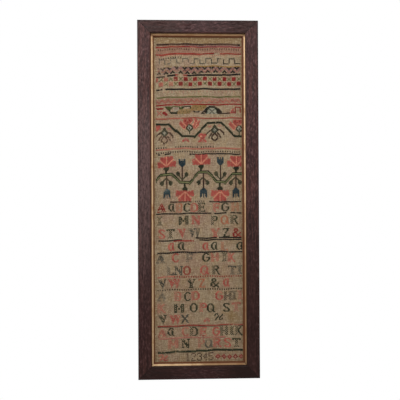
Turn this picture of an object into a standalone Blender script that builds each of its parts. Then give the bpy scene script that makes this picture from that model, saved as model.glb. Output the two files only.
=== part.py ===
"""Long band sampler on linen, in a flat stained-oak frame with a gilt slip.

Metres, +Z up. The frame faces -Y and hangs with its back on the plane y = 0. The origin is the
middle of the top rail's back face, where the frame bears on its hook.
"""

from collections import namedtuple
from math import cos, radians, sin

import bmesh
import bpy
from mathutils import Matrix, Vector

# Overall size of the frame
FRAME_WIDTH = 0.230
FRAME_HEIGHT = 0.680
FRAME_DEPTH = 0.020
RAIL_WIDTH = 0.025

# Rail section
REBATE_WIDTH = 0.006
LIP_THICKNESS = 0.0058
OUTER_ARRIS_RADIUS = 0.0022
SIGHT_EDGE_RADIUS = 0.0022
ARC_STEPS = 4
SMOOTHING_ANGLE_DEG = 32

# Gilt slip section: a flange behind the lip, a sloping fillet, then a hollow down to the linen
SLIP_HIDDEN_WIDTH = 0.0052
SLIP_FILLET_WIDTH = 0.0044
SLIP_FILLET_DROP = 0.0012
SLIP_HOLLOW_WIDTH = 0.0016
SLIP_THICKNESS = 0.0048
SLIP_SIGHT_EDGE = 0.0009

# Linen, and the board that it is laid on
LINEN_THICKNESS = 0.0010
LINEN_HIDDEN_MARGIN = 0.0075
LINEN_CELLS_ACROSS = 18
LINEN_CELLS_DOWN = 52
PUCKER_SPREAD = 2.0
PUCKER_FADE_WIDTH = 0.018
BOARD_THICKNESS = 0.0030

# Clearances between neighbouring pieces
GAP = 0.0003
BOARD_SIDE_GAP = 0.0006

# The rails' back is at y = 0, so a depth w above the back lies at y = -w.
LIP_BACK = FRAME_DEPTH - LIP_THICKNESS
SLIP_FRONT = LIP_BACK - GAP
SLIP_BACK = SLIP_FRONT - SLIP_THICKNESS
LINEN_FRONT = SLIP_BACK - GAP
LINEN_BACK = LINEN_FRONT - LINEN_THICKNESS
BOARD_FRONT = LINEN_BACK - GAP
REBATE_START = RAIL_WIDTH - REBATE_WIDTH
SLIP_SIGHT = RAIL_WIDTH + SLIP_FILLET_WIDTH + SLIP_HOLLOW_WIDTH

# The origin lies halfway across the top rail's back face.
FRAME_CENTRE = Vector((0.0, 0.0, REBATE_START / 2 - FRAME_HEIGHT / 2))

Side = namedtuple("Side", "name turn_deg outer_length reach")
SIDES = (
    Side("top", 0, FRAME_WIDTH, FRAME_HEIGHT / 2),
    Side("right", 90, FRAME_HEIGHT, FRAME_WIDTH / 2),
    Side("bottom", 180, FRAME_WIDTH, FRAME_HEIGHT / 2),
    Side("left", 270, FRAME_HEIGHT, FRAME_WIDTH / 2),
)

# Where the linen lifts off its board: densely stitched bands draw it in, and it swells between
# them. x is from the frame's centre line and down is from the top of the linen that shows. A
# pucker dies out at PUCKER_SPREAD times its reach, and all of them do towards the slip.
Pucker = namedtuple("Pucker", "x down reach_across reach_down rise")
PUCKERS = (
    Pucker(-0.030, 0.055, 0.050, 0.014, 0.0007),
    Pucker(0.042, 0.112, 0.040, 0.016, 0.0009),
    Pucker(-0.036, 0.160, 0.034, 0.018, 0.0012),
    Pucker(0.025, 0.196, 0.060, 0.012, 0.0008),
    Pucker(-0.012, 0.268, 0.045, 0.020, 0.0013),
    Pucker(0.048, 0.335, 0.030, 0.024, 0.0009),
    Pucker(-0.044, 0.392, 0.030, 0.022, 0.0011),
    Pucker(0.008, 0.452, 0.055, 0.016, 0.0010),
    Pucker(0.040, 0.520, 0.036, 0.022, 0.0008),
    Pucker(-0.030, 0.572, 0.044, 0.018, 0.0009),
)

# Base colour, roughness and metallic value of each material
Finish = namedtuple("Finish", "colour roughness metallic")
FINISHES = {
    "stained_oak": Finish((0.070, 0.042, 0.038), 0.45, 0.0),
    "gilt": Finish((0.560, 0.370, 0.190), 0.42, 0.75),
    "linen": Finish((0.250, 0.165, 0.100), 0.95, 0.0),
    "board": Finish((0.260, 0.180, 0.110), 0.90, 0.0),
}


def clear_scene():
    for old in list(bpy.data.objects):
        bpy.data.objects.remove(old)


def make_materials():
    made = {}
    for name, finish in FINISHES.items():
        material = bpy.data.materials.new(name)
        material.use_nodes = True
        shader = material.node_tree.nodes["Principled BSDF"]
        shader.inputs["Base Color"].default_value = (*finish.colour, 1.0)
        shader.inputs["Roughness"].default_value = finish.roughness
        shader.inputs["Metallic"].default_value = finish.metallic
        made[name] = material
    return made


def arc(centre, radii, start_deg, end_deg):
    """Points of a circle's or an ellipse's arc in the section plane, ends included."""
    turns = [start_deg + (end_deg - start_deg) * step / ARC_STEPS for step in range(ARC_STEPS + 1)]
    return [
        (centre[0] + radii[0] * cos(radians(turn)), centre[1] + radii[1] * sin(radians(turn)))
        for turn in turns
    ]


def rail_section():
    """(u, w) points: u inwards from the frame's outer edge, w forwards from its back."""
    outer_centre = (OUTER_ARRIS_RADIUS, FRAME_DEPTH - OUTER_ARRIS_RADIUS)
    sight_centre = (RAIL_WIDTH - SIGHT_EDGE_RADIUS, FRAME_DEPTH - SIGHT_EDGE_RADIUS)
    outer_arris = arc(outer_centre, (OUTER_ARRIS_RADIUS, OUTER_ARRIS_RADIUS), 180, 90)
    sight_edge = arc(sight_centre, (SIGHT_EDGE_RADIUS, SIGHT_EDGE_RADIUS), 90, 0)
    rebate = [(RAIL_WIDTH, LIP_BACK), (REBATE_START, LIP_BACK), (REBATE_START, 0.0)]
    return [(0.0, 0.0), *outer_arris, *sight_edge, *rebate]


def slip_section():
    """(u, w) points of the slip, measured as the rail's are."""
    flange_start = RAIL_WIDTH - SLIP_HIDDEN_WIDTH
    fillet_foot = SLIP_FRONT - SLIP_FILLET_DROP
    hollow_depth = fillet_foot - SLIP_BACK - SLIP_SIGHT_EDGE
    hollow = arc((SLIP_SIGHT, fillet_foot), (SLIP_HOLLOW_WIDTH, hollow_depth), 180, 270)
    flange = [(flange_start, SLIP_BACK), (flange_start, SLIP_FRONT), (RAIL_WIDTH, SLIP_FRONT)]
    return [*flange, *hollow, (SLIP_SIGHT, SLIP_BACK)]


def saw_mitre(mesh, outer_length, end):
    """Cuts one end of a bar at 45 degrees and closes the cut; end is -1 or 1."""
    normal = Vector((end, 0.0, -1.0)).normalized()
    corner = Vector((end * outer_length / 2, 0.0, 0.0))
    bmesh.ops.bisect_plane(
        mesh,
        geom=[*mesh.verts, *mesh.edges, *mesh.faces],
        plane_co=corner - normal * GAP / 2,
        plane_no=normal,
        clear_outer=True,
    )
    rim = [edge for edge in mesh.edges if edge.is_boundary]
    bmesh.ops.edgeloop_fill(mesh, edges=rim)


def mitred_bar(name, section, side, material, parent, collection):
    """One side of a mitred frame. The section is drawn for the top side, then turned into place."""
    mesh = bmesh.new()
    start_x = -side.outer_length / 2 - RAIL_WIDTH
    corners = [mesh.verts.new((start_x, -w, -u)) for u, w in section]
    face = mesh.faces.new(corners)
    swept = bmesh.ops.extrude_face_region(mesh, geom=[face])["geom"]
    bmesh.ops.translate(
        mesh,
        vec=(side.outer_length + 2 * RAIL_WIDTH, 0.0, 0.0),
        verts=[part for part in swept if isinstance(part, bmesh.types.BMVert)],
    )
    # The bar is sawn from an over-long length: its plain ends come off with the waste.
    for end in (-1, 1):
        saw_mitre(mesh, side.outer_length, end)
    bmesh.ops.recalc_face_normals(mesh, faces=mesh.faces)

    data = bpy.data.meshes.new(name)
    mesh.to_mesh(data)
    mesh.free()
    data.materials.append(material)
    data.shade_smooth()
    data.set_sharp_from_angle(angle=radians(SMOOTHING_ANGLE_DEG))
    bar = bpy.data.objects.new(name, data)
    collection.objects.link(bar)
    bar.parent = parent
    turn = Matrix.Rotation(radians(side.turn_deg), 4, "Y")
    bar.location = turn @ Vector((0.0, 0.0, side.reach))
    bar.rotation_euler = (0.0, radians(side.turn_deg), 0.0)
    return bar


def visible_linen_size():
    return FRAME_WIDTH - 2 * SLIP_SIGHT, FRAME_HEIGHT - 2 * SLIP_SIGHT


def smooth_step(share):
    share = min(1.0, max(0.0, share))
    return share * share * (3.0 - 2.0 * share)


def linen_rise(x, z):
    """How far the linen stands off its board at a point measured from the frame's centre."""
    width, height = visible_linen_size()
    inside = min(width / 2 - abs(x), height / 2 - abs(z))
    down = height / 2 - z
    rise = 0.0
    for pucker in PUCKERS:
        across = (x - pucker.x) / (PUCKER_SPREAD * pucker.reach_across)
        along = (down - pucker.down) / (PUCKER_SPREAD * pucker.reach_down)
        rise += pucker.rise * smooth_step(1.0 - across * across - along * along)
    return rise * smooth_step(inside / PUCKER_FADE_WIDTH)


def make_linen(material, parent, collection):
    """The embroidered cloth: one sheet, held flat under the slip and slightly puckered inside it."""
    width, height = visible_linen_size()
    mesh = bmesh.new()
    bmesh.ops.create_grid(
        mesh, x_segments=LINEN_CELLS_ACROSS, y_segments=LINEN_CELLS_DOWN, size=0.5
    )
    for vertex in mesh.verts:
        x = vertex.co.x * (width + 2 * LINEN_HIDDEN_MARGIN)
        z = vertex.co.y * (height + 2 * LINEN_HIDDEN_MARGIN)
        vertex.co = (x, -LINEN_BACK - linen_rise(x, z), z)
    bmesh.ops.recalc_face_normals(mesh, faces=mesh.faces)

    data = bpy.data.meshes.new("linen_sampler")
    mesh.to_mesh(data)
    mesh.free()
    data.materials.append(material)
    data.shade_smooth()
    linen = bpy.data.objects.new("linen_sampler", data)
    collection.objects.link(linen)
    linen.parent = parent
    faces_front = data.polygons[0].normal.y < 0
    thickness = linen.modifiers.new("thickness", "SOLIDIFY")
    thickness.thickness = LINEN_THICKNESS
    thickness.offset = 1.0 if faces_front else -1.0
    return linen


def make_board(material, parent, collection):
    """The plain board behind the linen, which fills the rebate from side to side."""
    size = Vector(
        (
            FRAME_WIDTH - 2 * (REBATE_START + BOARD_SIDE_GAP),
            BOARD_THICKNESS,
            FRAME_HEIGHT - 2 * (REBATE_START + BOARD_SIDE_GAP),
        )
    )
    mesh = bmesh.new()
    bmesh.ops.create_cube(mesh, size=1.0, matrix=Matrix.Diagonal((*size, 1.0)))
    data = bpy.data.meshes.new("backing_board")
    mesh.to_mesh(data)
    mesh.free()
    data.materials.append(material)
    board = bpy.data.objects.new("backing_board", data)
    collection.objects.link(board)
    board.parent = parent
    board.location = (0.0, -(BOARD_FRONT - BOARD_THICKNESS / 2), 0.0)
    return board


def main():
    clear_scene()
    materials = make_materials()
    collection = bpy.data.collections.new("framed_cross_stitch_sampler")
    bpy.context.scene.collection.children.link(collection)
    centre = bpy.data.objects.new("frame_centre", None)
    centre.location = FRAME_CENTRE
    collection.objects.link(centre)

    for side in SIDES:
        mitred_bar(
            f"rail_{side.name}", rail_section(), side, materials["stained_oak"], centre, collection
        )
        mitred_bar(f"slip_{side.name}", slip_section(), side, materials["gilt"], centre, collection)
    make_linen(materials["linen"], centre, collection)
    make_board(materials["board"], centre, collection)


main()
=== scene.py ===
"""Looks of the framed cross stitch sampler. Metres, +Z up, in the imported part's own frame.

The sampler faces -Y. A place on the linen is x from the frame's centre line and down from the top
of the linen that shows. The embroidery is charted in whole stitches: columns from the left, rows
from the top of the linen. Every stitch is two strands that cross over one square of the chart.
"""

from collections import namedtuple
from math import pi, radians

import bpy
import numpy as np
from mathutils import Matrix, Vector


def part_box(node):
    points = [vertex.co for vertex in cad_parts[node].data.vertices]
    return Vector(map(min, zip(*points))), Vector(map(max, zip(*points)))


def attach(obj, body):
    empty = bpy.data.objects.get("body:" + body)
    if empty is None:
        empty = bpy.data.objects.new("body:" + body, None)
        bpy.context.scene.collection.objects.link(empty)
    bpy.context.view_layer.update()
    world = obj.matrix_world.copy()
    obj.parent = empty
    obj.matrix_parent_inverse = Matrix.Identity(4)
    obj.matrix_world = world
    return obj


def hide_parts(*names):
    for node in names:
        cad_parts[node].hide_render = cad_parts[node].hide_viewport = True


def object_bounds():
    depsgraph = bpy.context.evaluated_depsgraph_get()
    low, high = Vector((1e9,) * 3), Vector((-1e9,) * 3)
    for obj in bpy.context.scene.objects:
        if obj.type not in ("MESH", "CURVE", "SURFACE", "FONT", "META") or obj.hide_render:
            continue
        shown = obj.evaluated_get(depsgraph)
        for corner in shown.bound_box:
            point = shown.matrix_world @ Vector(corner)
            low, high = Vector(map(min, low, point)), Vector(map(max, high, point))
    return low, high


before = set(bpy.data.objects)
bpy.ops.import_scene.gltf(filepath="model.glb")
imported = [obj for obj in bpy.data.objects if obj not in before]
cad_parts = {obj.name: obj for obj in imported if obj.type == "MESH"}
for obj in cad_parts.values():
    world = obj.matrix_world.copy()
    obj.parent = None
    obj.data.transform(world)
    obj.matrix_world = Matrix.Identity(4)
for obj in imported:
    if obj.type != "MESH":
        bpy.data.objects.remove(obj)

CAD_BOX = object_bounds()
BODY = "root"

# The frame's clear opening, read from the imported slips
SIGHT_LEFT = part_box("slip_left")[1].x
SIGHT_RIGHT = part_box("slip_right")[0].x
SIGHT_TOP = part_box("slip_top")[0].z
SIGHT_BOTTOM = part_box("slip_bottom")[1].z
LINEN_WIDTH = SIGHT_RIGHT - SIGHT_LEFT
LINEN_HEIGHT = SIGHT_TOP - SIGHT_BOTTOM
FRAME_HALF_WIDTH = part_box("rail_right")[1].x
FRAME_CENTRE_Z = (SIGHT_TOP + SIGHT_BOTTOM) / 2
FRAME_HALF_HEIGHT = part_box("rail_top")[1].z - FRAME_CENTRE_Z
RAIL_WIDTH = 0.025

# The linen sheet, as in the solid that it replaces
PIECE_GAP = 0.0003
LINEN_FRONT_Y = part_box("slip_left")[1].y + PIECE_GAP
LINEN_THICKNESS = 0.0010
LINEN_MARGIN = 0.0075
LINEN_GRID = (99, 341)
PUCKER_SPREAD = 2.0
PUCKER_FADE_WIDTH = 0.018
Pucker = namedtuple("Pucker", "x down reach_across reach_down rise")
PUCKERS = (
    Pucker(-0.030, 0.055, 0.050, 0.014, 0.0007),
    Pucker(0.042, 0.112, 0.040, 0.016, 0.0009),
    Pucker(-0.036, 0.160, 0.034, 0.018, 0.0012),
    Pucker(0.025, 0.196, 0.060, 0.012, 0.0008),
    Pucker(-0.012, 0.268, 0.045, 0.020, 0.0013),
    Pucker(0.048, 0.335, 0.030, 0.024, 0.0009),
    Pucker(-0.044, 0.392, 0.030, 0.022, 0.0011),
    Pucker(0.008, 0.452, 0.055, 0.016, 0.0010),
    Pucker(0.040, 0.520, 0.036, 0.022, 0.0008),
    Pucker(-0.030, 0.572, 0.044, 0.018, 0.0009),
)
RIPPLE_HEIGHT = 0.00012
RIPPLE_ACROSS = 0.031
RIPPLE_DOWN = 0.0137

# The chart's squares on the linen
STITCH_ACROSS = 0.00186
STITCH_DOWN = 0.001873
CHART_COLUMNS = 88
CHART_ROWS = 330
CHART_START_X = SIGHT_LEFT + 0.0036
THREADS_PER_STITCH = 2

# How much of its square a stitch's arms span, and how far a longer arm is wider too
LONG_ARM = 1.42
STOUT_ARM = 1.25
PATH_ARM = 1.12
REACH_WIDENS = 0.5

# In squares: from one upright dot to the next, from a dot's first stitch to its second, and the
# slope over one column from which a path is worked deeper
DOT_GAP = 2.43
HALF_ROW = 0.5
STEEP = 0.4

# How far letters have faded, and those in pale thread
LETTER_FADED = 0.2
LETTER_PALE = 0.75

# How the worked cloth has gone out of square: its rows droop towards the left selvedge, by these
# amounts at these places down the cloth, they slant up to the right, and they wave
Droop = namedtuple("Droop", "down amount")
DROOPS = (
    Droop(0.000, 0.0000),
    Droop(0.016, 0.0010),
    Droop(0.032, 0.0028),
    Droop(0.210, 0.0024),
    Droop(0.300, 0.0012),
    Droop(0.620, 0.0012),
)
DROOP_REACH = 0.048
SLANT = 0.0028
Wave = namedtuple("Wave", "across down phase size_across size_down")
WAVES = (
    Wave(0.071, 0.190, 0.4, 0.00030, 0.00052),
    Wave(0.038, -0.110, 2.1, 0.00022, 0.00030),
    Wave(0.023, 0.067, 4.4, 0.00010, 0.00016),
)

# Strands of thread
STRAND_WIDTH = 0.00108
STRAND_THICKNESS = 0.00042
UNDER_LIFT = 0.00026
OVER_LIFT = 0.00060
HOLE_DEPTH = 0.00022
HOLE_JITTER = 0.00006
TWIST_LENGTH = 0.0011
PLIES = 2
WIDTH_VARIES = 0.16
LIFT_VARIES = 0.15
Ring = namedtuple("Ring", "place lift width")
STRAND_RINGS = (
    Ring(0.03, 0.0, 0.45),
    Ring(0.16, 0.62, 0.95),
    Ring(0.50, 1.0, 1.05),
    Ring(0.84, 0.62, 0.95),
    Ring(0.97, 0.0, 0.45),
)
STRAND_SIDES = 4
SEED = 41

# Wear and shade of a stitch, by the patch of cloth that it is in and by its own chance
PATCH_COLUMNS, PATCH_ROWS = 7, 3
WEAR_BY_PATCH, WEAR_BY_CHANCE = 0.12, 0.15
SHADE_BY_PATCH, SHADE_BY_CHANCE = 0.16, 0.5
HALF_OF_IT_LEFT = 0.3

# The photograph's view of the frame
CAMERA_PLACE = (-0.0509, -1.2797, -0.3486)
CAMERA_YAW_DEG = -2.429
CAMERA_PITCH_DEG = 0.736
CAMERA_ROLL_DEG = -0.274
CAMERA_LENS_MM = 60.0
SENSOR_MM = 36.0

WORLD_LIGHT = 0.2
FLOOR_DROP = 1.0
FLOOR_SIZE = 5.0


def linear(red, green, blue):
    """An 8-bit screen colour as the shader's linear one."""
    shares = np.array([red, green, blue]) / 255
    values = np.where(shares <= 0.04045, shares / 12.92, ((shares + 0.055) / 1.055) ** 2.4)
    return (*(float(value) for value in values), 1.0)


Thread = namedtuple("Thread", "name fresh faded")
THREADS = {
    "r": Thread("coral", linear(170, 78, 68), linear(168, 114, 92)),
    "c": Thread("crimson", linear(132, 28, 26), linear(150, 84, 66)),
    "k": Thread("black", linear(28, 22, 16), linear(84, 68, 54)),
    "g": Thread("dark_green", linear(36, 40, 22), linear(88, 84, 60)),
    "o": Thread("olive", linear(78, 80, 36), linear(112, 106, 68)),
    "b": Thread("indigo", linear(28, 48, 56), linear(78, 94, 94)),
    "y": Thread("ochre", linear(146, 112, 62), linear(152, 124, 84)),
    "p": Thread("pink", linear(166, 96, 84), linear(154, 114, 94)),
    "s": Thread("grey_green", linear(56, 56, 48), linear(112, 102, 86)),
    "a": Thread("orange", linear(174, 84, 50), linear(164, 110, 82)),
    "t": Thread("brown", linear(54, 34, 24), linear(106, 82, 64)),
    "q": Thread("peach", linear(206, 136, 108), linear(184, 136, 108)),
    "l": Thread("sage", linear(118, 122, 76), linear(136, 126, 92)),
    "w": Thread("pale_grey", linear(158, 154, 134), linear(158, 146, 122)),
    "m": Thread("mauve", linear(112, 78, 78), linear(138, 108, 102)),
}

# Where thread has faded or worn away, out to where the squared distance, in reaches, is WORN_EDGE
WORN_EDGE = 1.5
Worn = namedtuple("Worn", "x down reach_across reach_down faded lost")
WORN_PLACES = (
    Worn(-0.052, 0.052, 0.044, 0.006, 0.85, 0.30),
    Worn(-0.074, 0.062, 0.014, 0.010, 0.40, 0.35),
    Worn(-0.066, 0.085, 0.022, 0.012, 0.50, 0.05),
    Worn(-0.060, 0.196, 0.026, 0.010, 0.45, 0.15),
    Worn(-0.066, 0.288, 0.012, 0.008, 0.50, 0.10),
    Worn(-0.070, 0.352, 0.014, 0.014, 0.30, 0.15),
    Worn(0.020, 0.372, 0.030, 0.010, 0.25, 0.12),
    Worn(-0.064, 0.490, 0.020, 0.012, 0.35, 0.25),
    Worn(0.066, 0.538, 0.016, 0.018, 0.60, 0.55),
    Worn(-0.060, 0.596, 0.030, 0.010, 0.35, 0.25),
    Worn(0.006, 0.577, 0.026, 0.010, 0.30, 0.15),
)


def smooth_step(share):
    share = np.clip(share, 0.0, 1.0)
    return share * share * (3.0 - 2.0 * share)


def within_sight(x, down):
    """Distance to the nearest edge of the linen that shows; negative under the slip."""
    side = LINEN_WIDTH / 2 - np.abs(x)
    end = LINEN_HEIGHT / 2 - np.abs(down - LINEN_HEIGHT / 2)
    return np.minimum(side, end)


def linen_rise(x, down):
    """How far the linen's front stands off its flat place."""
    rise = RIPPLE_HEIGHT * np.sin(2 * pi * (down / RIPPLE_DOWN + 0.6 * np.sin(x / RIPPLE_ACROSS)))
    for pucker in PUCKERS:
        across = (x - pucker.x) / (PUCKER_SPREAD * pucker.reach_across)
        along = (down - pucker.down) / (PUCKER_SPREAD * pucker.reach_down)
        rise = rise + pucker.rise * smooth_step(1.0 - across * across - along * along)
    return rise * smooth_step(within_sight(x, down) / PUCKER_FADE_WIDTH)


def on_linen(column, row):
    """(x, down) of a point of the chart on the worked cloth."""
    x = CHART_START_X + np.asarray(column, float) * STITCH_ACROSS
    down = np.asarray(row, float) * STITCH_DOWN
    held = smooth_step((within_sight(x, down) + LINEN_MARGIN) / LINEN_MARGIN)
    amounts = np.interp(down, [d.down for d in DROOPS], [d.amount for d in DROOPS])
    droop = amounts * smooth_step(1.0 - (x + LINEN_WIDTH / 2) / DROOP_REACH)
    shift_across, shift_down = 0.0, droop - SLANT * down * x / LINEN_WIDTH
    for wave in WAVES:
        angle = 2 * pi * (x / wave.across + down / wave.down) + wave.phase
        shift_across = shift_across + wave.size_across * np.cos(angle)
        shift_down = shift_down + wave.size_down * np.sin(angle)
    return x + shift_across * held, down + shift_down * held


def in_space(x, down, lift):
    """World points of places on the linen, lift above its surface."""
    y = LINEN_FRONT_Y - linen_rise(x, down) - lift
    return np.stack([x, y, SIGHT_TOP - down], axis=-1)


# Charts

def picture(text):
    return tuple(text.split())


def pictures(names, text):
    """Several pictures side by side, one name each, as {name: rows}."""
    columns = zip(*(line.split() for line in text.strip().splitlines()))
    return dict(zip(names, columns))


LETTERS = {
    **pictures("ABCDEFGHI", """
    ....#.... %%%###. ..####. %%%###.. %%%#### %%%#### ..####.. %%%..%%% %%%%%
    ...#%#... %%%..## .##..## %%%..##. %%%...# %%%...# .##..##. %%%..%%% .%%%.
    ...#%#... %%%..## ##..... %%%...## %%%.... %%%.... ##...... %%%..%%% .%%%.
    ..#.#%#.. %%%..## ##..... %%%...## %%%..#. %%%..#. ##...... %%%..%%% .%%%.
    ..#.#%#.. %%%###. ##..... %%%...## %%%###. %%%###. ##..#### %%%##%%% .%%%.
    .#######. %%%..## ##..... %%%...## %%%..#. %%%..#. ##....## %%%..%%% .%%%.
    .#...#%#. %%%..## ##..... %%%...## %%%.... %%%.... ##....## %%%..%%% .%%%.
    #....#%#. %%%..## .##..## %%%..##. %%%...# %%%.... .##..##. %%%..%%% .%%%.
    ###.#%%%# %%%###. ..####. %%%###.. %%%#### %%%.... ..####.. %%%..%%% %%%%%
    """),
    **pictures("KLMNOPQR", """
    %%%..##. %%%.... #%#....#%# ###...### ..####.. %%%###. ..####... %%%###..
    %%%.##.. %%%.... #%#....#%# .#%#...#. .##..##. %%%..## .##..##.. %%%..##.
    %%%##... %%%.... #%##..##%# .#%#...#. ##....## %%%..## ##....##. %%%..##.
    %%%#.... %%%.... #%##..##%# .#.#%#.#. ##....## %%%..## ##....##. %%%###..
    %%%##... %%%.... #%#.##.#%# .#.#%#.#. ##....## %%%###. ##....##. %%%##...
    %%%##... %%%.... #%#.##.#%# .#..#%##. ##....## %%%.... ##..#.##. %%%.##..
    %%%.##.. %%%...# #%#....#%# .#...#%#. ##....## %%%.... ##...###. %%%.##..
    %%%..##. %%%..## #%#....#%# .#...#%#. .##..##. %%%.... .##..###. %%%..##.
    %%%...## %%%#### ###....### ###...##. ..####.. %%%.... ..####.## %%%...##
    """),
    **pictures("STVWXYZ&", """
    .#####. ######### #%#..###. #%#..#%#.## ##....## #%#...### ####### ..###....
    ##...## ##.%%%.## .#%#..#.. .#%#.#%#..# .##..##. .#%#...#. #...##. .##.##...
    ##..... ...%%%... .#%#..#.. .#%#..#%#.# .##..##. .#%#..#.. ....##. .##.##...
    .##.... ...%%%... ..#%#.#.. ..#%##.#%#. ..####.. ..#%#.#.. ...##.. ..###....
    ..###.. ...%%%... ..#%##... ..#%##.#%#. ...##... ...#%#... ..##... .###...##
    ....##. ...%%%... ...#%#... ..#%#..#%#. ..####.. ...#%#... ..##... ##.##.##.
    .....## ...%%%... ...#%#... ...##...##. .##..##. ...#%#... .##.... ##..###..
    ##...## ...%%%... ....#.... ...#....#.. .##..##. ...#%#... .##...# ##..####.
    .#####. ..%%%%%.. ....#.... ...#....#.. ##....## ..#####.. ####### .####..##
    """),
    **pictures("abcdefgh", """
    ..####. ##.... ...... ....##. ...... ..### .##.##. ##....
    .##..#. ##.... ..###. ....##. ..###. .##.. ##.###. ##....
    ##..##. ##.##. .##.## .##.##. .##.## .##.. ##..##. ##.##.
    ##..##. ###.## ##.... ##.###. ##..## ####. ##.###. ###.##
    ##..##. ##..## ##.... ##..##. #####. .##.. .##.##. ##..##
    ##..##. ##..## ##.... ##..##. ##.... .##.. ....##. ##..##
    .##.##. ###.## .##.## ##.###. .##.## .##.. ##..##. ##..##
    ..##.## ##.##. ..###. .##.### ..###. .##.. .####.. ##..##
    """),
    **pictures("12345", """
    ..#.. .###. .###. ...#. #####
    .##.. #...# #...# ..##. #....
    ..#.. ....# ....# .#.#. #....
    ..#.. ...#. ..##. #..#. ####.
    ..#.. ..#.. ....# ##### ....#
    ..#.. .#... ....# ...#. ....#
    ..#.. #.... #...# ...#. #...#
    .###. ##### .###. ...#. .###.
    """),
}

CARNATION = picture("""
...rrr.rrqrr.rrr...
...rrrrrrqrrrrrr...
...rrrrrrqrrrrrr...
..qqrrrrrqrrrrrqq..
...qqrrrrqrrrrqq...
rrr.qqrrrqrrrqq.rrr
rrrrrqqrrqrrqqrrrrr
rrrrrrqqrqrqqrrrrrr
rrrrrrrqqqqqrrrrrrr
.rrrrrrrqqqrrrrrrr.
rrr.rr.rrrrr.rr.rrr
.......ggggg.......
......gggggg.......
.......ggggg.......
........ggg........
........gg.........
........gg.........
........gg.........
""")

TULIP = picture("""
b..b..b
bb.b.bb
bb.b.bb
bb.b.bb
bbbbbbb
bbbbbbb
bbbbbbb
bbbbbbb
.bbbbb.
..bbb..
""")

LEAF_PAIR = picture("""
.gg.......gg.
gggg.....gggg
gggg.....gggg
gggg.....gggg
.ggg.....ggg.
...gg...gg...
....gg.gg....
.....ggg.....
""")

HONEYSUCKLE = picture("""
.....rrr.rrrr..rr....
....rrcrrrcrrr..rr...
.r..rccrrrccrr.qrrq.r
.rr.rrrrcrrrr..qrrqrr
rrrqqrrrrrrrq..rrqrrq
rrrrqqrrrrrq..qrrqrr.
qrrrrqqrrggg.qqrrqrr.
.qrrrrqqgwwgg.rrqrrq.
..qrrrqggwwwggrrqrq..
...qrrqgwwkwwgrrrq...
....qq.ggwkwgg.qq....
........ggwgg........
.........ggg.........
..........g..........
..........g..........
..........g..........
""")

PENDANT = picture("""
...........g...........
.....ppp..ggg..ppp.....
..........gsg..........
.........gsgsg.........
........gsgwgsg........
......ttgswgwsgttt.....
.....tt.gsgwgsg..tt....
....t....gsgsg....tt...
...t....t.gsg.t....tt..
..t....tt.ttt.tt....t..
......tt.tt.tt.tt...t..
......t.tt...tt.t......
.....tt.t.....t.tt.....
.....t..t.....t..t.....
........tt...tt........
.........tt.tt.........
..........ttt..........
""")

ROSETTE = picture("""
..rrr.rr.
.rrrrrrrr
rrqqrrrr.
.rqqqrr..
..rrrrr..
...rrr...
..rr.rrr.
.rrrp.rrr
rrr.pp.rr
""")

SPRIG = picture("""
..ppp..
.p.p.p.
rrpppr.
rr...rr
""")

RED_HOOK = picture("""
cccccccc......
.cccccc.......
..............
.r...r........
..r.r..ccc....
...r..ccccc...
..r.r..ccccc..
.r...r...ccc..
""")

GREEN_LEAVES = picture("""
oooooooooooooooo.oggggggggg
.gooooog.w.wpw.googg......g
..gooog..wpwpw.gooog......g
...gog...w.w.w.goog........
....gg....www.ggog.........
.....g......gggog..........
.....gggggggggg............
......gggggggg.............
""")

OCHRE_LEAF = picture("""
..yyyyyyyyyyyyyy
.yyyoyyyyoyyyyyy
yyyyyyoyyyyyoyy.
yyoyyyyyyyoyyy..
yyyyyoyyyyyyy...
yyyyyyyyyyyy....
""")

LEAF_FOOT = picture("""
kk...kk
.kkkkk.
""")

ARCH = picture("""
........kkkkkkk........
......kkkgggggkkk......
.....kkggwwwwwggkkk....
....kkggwkwwwkwggkkk...
...kkkgwwwkwkwwwgkkkk..
..kkkkgwwwwkwwwwgkkkkk.
.kkkkkgwwwkwkwwwgkkkkk.
kkkk.gwwwkwwwkwwwgkkkkk
""")

CRENEL = picture("""
.....cccccc
.....c....c
...r.c....c
..rr.c....c
.rpr.c....c
.rppcc....c
rrrrrc.....
""")

SCROLL = picture("""
.###......
##.##...#.
#...#..##.
...##.##..
..##.##...
.##.##..#.
.#...####.
""")

DIAMOND = picture("""
..c..
.cpc.
cp.pc
.cpc.
..c..
""")


Stitch = namedtuple("Stitch", "ink faded reach", defaults=(0.0, 1.0))


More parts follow.
